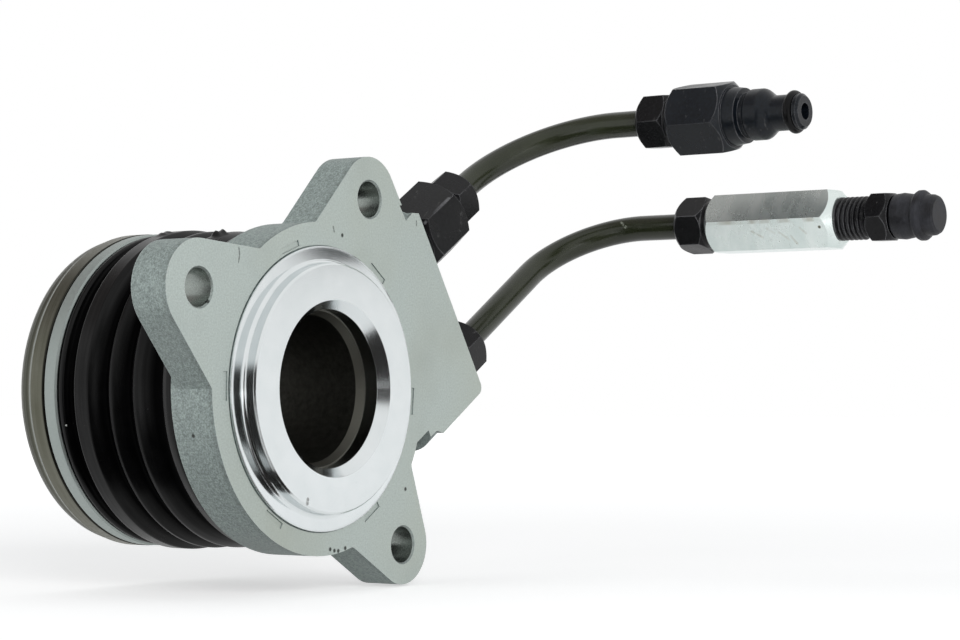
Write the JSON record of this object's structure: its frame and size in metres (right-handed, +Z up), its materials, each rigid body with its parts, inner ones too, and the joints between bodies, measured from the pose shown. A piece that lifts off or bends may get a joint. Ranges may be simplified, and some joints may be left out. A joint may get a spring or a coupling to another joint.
{
  "type": "concentric slave cylinder",
  "caption": "Hydraulic clutch release cylinder with eared cast flange, rubber bellows, release bearing, bent feed pipe with quick connector, and bleed pipe with capped bleed screw.",
  "frame": {"origin": "on the cylinder axis, in the plane of the flange's mounting face", "axes": "+Y along the cylinder axis in the release direction, towards the clutch; +Z up as in the picture, +X towards the side with the two pipes"},
  "size_m": [0.1375, 0.1244, 0.0949],
  "materials": {
    "cast_aluminium": "die cast, faced front",
    "turned_aluminium": "turned bright",
    "steel": "ground steel",
    "rubber": "black moulded rubber",
    "piston_plastic": "glass-filled plastic",
    "zinc_steel": "zinc plated steel",
    "bearing_steel": "oiled bearing steel",
    "cage_plastic": "moulded cage plastic",
    "black_steel": "black phosphate on steel",
    "pipe_coating": "dark olive coated steel pipe"
  },
  "bodies": {
    "cylinder": {"housing": "cast_aluminium", "pilot_ring": "turned_aluminium", "guide_tube": "steel", "guide_tube_seal": "rubber", "boot": "rubber", "preload_spring": "steel", "feed_adapter": "black_steel", "feed_nut_inner": "black_steel", "feed_pipe": "pipe_coating", "feed_nut_outer": "black_steel", "quick_connector": "black_steel", "connector_seal": "rubber", "bleed_nut_inner": "black_steel", "bleed_pipe": "pipe_coating", "bleed_nut_outer": "black_steel", "bleed_adapter": "zinc_steel"},
    "slider": {"piston": "piston_plastic", "piston_seal": "rubber", "bearing_carrier": "zinc_steel", "bearing_inner_ring": "steel", "bearing_clip": "steel"},
    "turning_ring": {"bearing_outer_ring": "bearing_steel", "bearing_shield": "rubber"},
    "ball_set": {"bearing_balls": "steel", "bearing_cage": "cage_plastic"},
    "bleed_screw": {"bleed_screw": "black_steel"},
    "dust_cap": {"dust_cap": "rubber"}
  },
  "joints": [
    {"name": "release", "type": "slide", "parent": "cylinder", "child": "slider", "axis": [0, 1, 0], "range_m": [-0.012, 0], "stiffness_N_per_m": 3000, "springref_m": 0.02, "deforming": ["boot", "preload_spring"]},
    {"name": "bearing_spin", "type": "hinge", "parent": "slider", "child": "turning_ring", "pos_m": [0, 0.043, 0], "axis": [0, 1, 0], "continuous": true},
    {"name": "cage_spin", "type": "hinge", "parent": "slider", "child": "ball_set", "pos_m": [0, 0.043, 0], "axis": [0, 1, 0], "continuous": true},
    {"name": "bleed_screw_turn", "type": "hinge", "parent": "cylinder", "child": "bleed_screw", "pos_m": [0.08981, -0.06, 0.03253], "axis": [0, -1, 0], "range_deg": [0, 180]},
    {"name": "dust_cap_pull", "type": "slide", "parent": "bleed_screw", "child": "dust_cap", "axis": [0, -1, 0], "range_m": [0, 0.012]}
  ],
  "couplings": [
    {"joint": "cage_spin", "follows": "bearing_spin", "ratio": 0.541}
  ]
}
